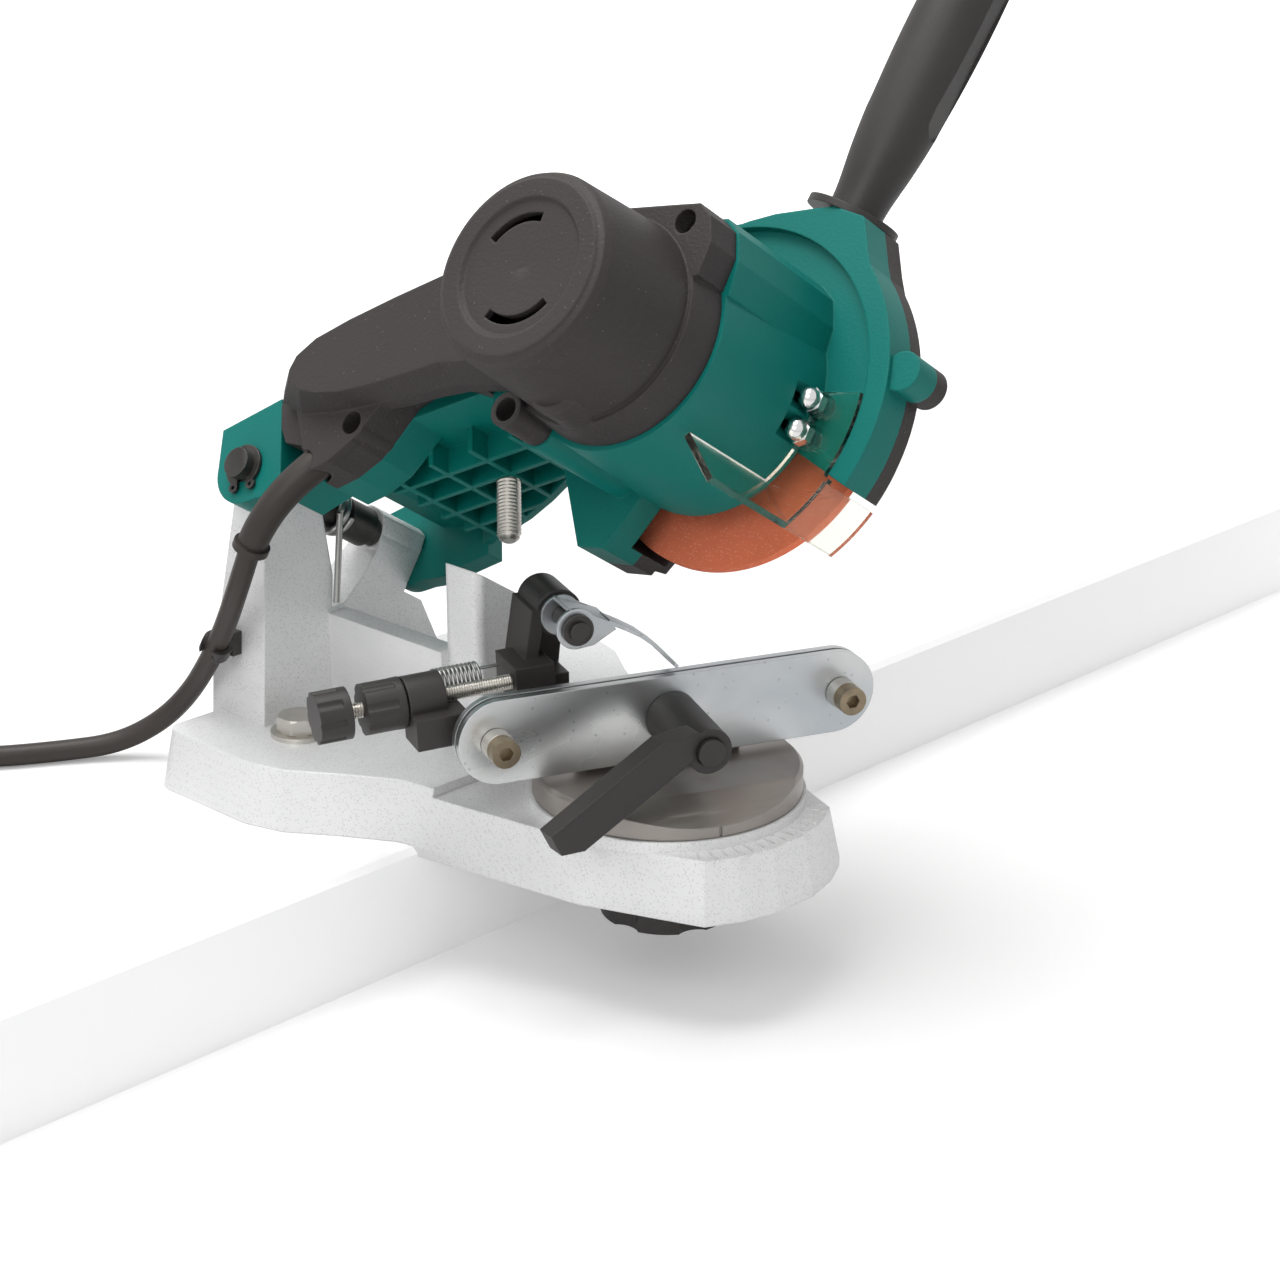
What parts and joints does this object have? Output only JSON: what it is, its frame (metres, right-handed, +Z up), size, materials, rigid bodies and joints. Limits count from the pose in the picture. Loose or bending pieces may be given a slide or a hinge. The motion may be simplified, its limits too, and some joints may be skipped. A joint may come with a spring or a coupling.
{
  "type": "electric saw-chain sharpener",
  "caption": "Bench-mounted electric chain grinder: tilting motor arm with a guarded wheel over a swivelling chain vice with clamp lever and chain stop.",
  "frame": {"origin": "midway between the two bench bolts, on the underside of the base, which is the top of the bench", "axes": "+Z up out of the bench; -Y towards the operator, from the hinge to the wheel; +X to the operator's right as they face the machine"},
  "size_m": [0.3347, 0.4101, 0.3166],
  "materials": {
    "cast_aluminium": "silver paint with a fine sparkle over sand-cast aluminium",
    "dark_casting": "dark grey satin paint on a turned aluminium disc",
    "zinc_plate": "zinc-plated steel, cloudy grey",
    "green_plastic": "fine-grained moulded plastic, teal green",
    "black_plastic": "coarse-grained moulded plastic, warm black",
    "grip_plastic": "smooth satin black plastic of handles and knobs",
    "abrasive": "bonded aluminium-oxide abrasive, orange-brown, grainy",
    "clear_plastic": "clear polycarbonate, faintly yellow at its edges",
    "chrome": "bright chrome plate",
    "bright_steel": "bright zinc-plated screw steel",
    "black_steel": "black-oxide steel",
    "spring_steel": "dark spring steel",
    "pale_aluminium": "turned aluminium",
    "laminated_steel": "varnished steel laminations",
    "copper": "enamelled copper wire",
    "brass": "pressed brass",
    "carbon": "pressed carbon",
    "black_rubber": "soft black rubber of the mains lead",
    "switch_plastic": "glossy black plastic of the rocker switch"
  },
  "bodies": {
    "base": {"base_casting": "cast_aluminium", "bench_bolts": "bright_steel", "bench_washers": "bright_steel", "hinge_pin": "black_steel", "pin_circlips": "black_steel", "pin_spacer": "black_steel", "tilt_spring": "spring_steel", "cord_clip": "grip_plastic", "cord": "black_rubber", "cord_coil": "black_rubber", "plug": "black_rubber", "plug_pins": "bright_steel"},
    "vice": {"turntable": "dark_casting", "turntable_stud": "bright_steel", "rear_plate": "zinc_plate", "guide_screws": "black_steel", "guide_sleeves": "bright_steel", "stop_holder": "grip_plastic"},
    "front_jaw": {"front_plate": "zinc_plate"},
    "lever": {"clamp_lever": "grip_plastic", "clamp_bolt": "bright_steel"},
    "button": {"lever_button": "grip_plastic"},
    "lock": {"lock_knob": "grip_plastic"},
    "adjuster": {"adjust_knob": "grip_plastic", "adjust_screw": "bright_steel"},
    "jam_nut": {"lock_nut": "grip_plastic"},
    "carriage": {"stop_carriage": "grip_plastic", "pawl_pin": "black_steel", "pawl_washer": "black_steel", "stop_spring": "spring_steel"},
    "pawl_arm": {"pawl": "zinc_plate"},
    "head": {"arm_housing": "green_plastic", "motor_cover": "black_plastic", "case_screws": "bright_steel", "guard_screws": "bright_steel", "guard_cover": "black_plastic", "handle": "grip_plastic", "handle_stud": "bright_steel", "eye_shield": "clear_plastic", "acorn_nuts": "chrome", "shield_screws": "bright_steel", "bearings": "bright_steel", "stator": "laminated_steel", "field_coils": "copper", "brush_holders": "brass", "carbon_brushes": "carbon", "switch_body": "switch_plastic", "strain_relief": "black_rubber"},
    "spindle": {"grinding_wheel": "abrasive", "wheel_hub": "pale_aluminium", "wheel_washer": "pale_aluminium", "wheel_nut": "bright_steel", "motor_shaft": "bright_steel", "rotor_core": "laminated_steel", "rotor_windings": "copper", "commutator": "copper", "cooling_fan": "black_plastic"},
    "switch_key": {"rocker": "switch_plastic"},
    "depth_screw": {"depth_stop": "bright_steel"},
    "depth_knob": {"depth_stop_knob": "grip_plastic"}
  },
  "joints": [
    {"name": "head_tilt", "type": "hinge", "parent": "base", "child": "head", "pos_m": [0.0042, 0.018, 0.0699], "axis": [0.8362, 0, -0.5484], "range_deg": [0, 6.5], "stiffness_Nm_per_rad": 5, "springref_deg": -34.38, "deforming": ["cord"]},
    {"name": "wheel_spin", "type": "hinge", "parent": "head", "child": "spindle", "pos_m": [0.04435, -0.10982, 0.13111], "axis": [0.8362, 0, -0.5484], "continuous": true},
    {"name": "switch_rock", "type": "hinge", "parent": "head", "child": "switch_key", "pos_m": [-0.0153, -0.00506, 0.1368], "axis": [0.8362, 0, -0.5484], "range_deg": [0, 12]},
    {"name": "depth_screw_travel", "type": "slide", "parent": "head", "child": "depth_screw", "axis": [0.4759, 0.497, 0.7256], "range_m": [0, 0.008]},
    {"name": "depth_knob_turn", "type": "hinge", "parent": "depth_screw", "child": "depth_knob", "pos_m": [0.02314, -0.02312, 0.13525], "axis": [0.4759, 0.497, 0.7256], "range_deg": [0, 2304]},
    {"name": "vice_swivel", "type": "hinge", "parent": "base", "child": "vice", "pos_m": [0, -0.118, 0], "axis": [0, 0, 1], "range_deg": [-11, 59]},
    {"name": "lock_knob_turn", "type": "hinge", "parent": "vice", "child": "lock", "pos_m": [0, -0.118, -0.012], "axis": [0, 0, 1], "range_deg": [-360, 0]},
    {"name": "lever_turn", "type": "hinge", "parent": "vice", "child": "lever", "pos_m": [-0.00813, -0.13627, 0.045], "axis": [0.4067, 0.9135, 0], "range_deg": [0, 60]},
    {"name": "jaw_travel", "type": "slide", "parent": "vice", "child": "front_jaw", "axis": [0.4067, 0.9135, 0], "range_m": [0, 0.0002]},
    {"name": "button_press", "type": "slide", "parent": "lever", "child": "button", "axis": [0.4067, 0.9135, 0], "range_m": [0, 0.0015], "stiffness_N_per_m": 400, "springref_m": -0.001},
    {"name": "adjuster_turn", "type": "hinge", "parent": "vice", "child": "adjuster", "pos_m": [-0.09089, -0.05564, 0.052], "axis": [0.9125, -0.4063, 0.0471], "range_deg": [-1575, 1575]},
    {"name": "carriage_travel", "type": "slide", "parent": "vice", "child": "carriage", "axis": [0.9125, -0.4063, 0.0471], "range_m": [-0.0035, 0.0035], "deforming": ["stop_spring"]},
    {"name": "jam_nut_turn", "type": "hinge", "parent": "vice", "child": "jam_nut", "pos_m": [-0.07264, -0.06376, 0.05294], "axis": [0.9125, -0.4063, 0.0471], "range_deg": [-360, 360]},
    {"name": "pawl_flip", "type": "hinge", "parent": "carriage", "child": "pawl_arm", "pos_m": [-0.02029, -0.09474, 0.075], "axis": [0.4067, 0.9135, 0], "range_deg": [-50, 0]}
  ],
  "couplings": [
    {"joint": "lever_turn", "follows": "jaw_travel", "rad_per_m": 5026.5},
    {"joint": "adjuster_turn", "follows": "carriage_travel", "rad_per_m": 7854},
    {"joint": "depth_knob_turn", "follows": "depth_screw_travel", "rad_per_m": 5026.5}
  ]
}
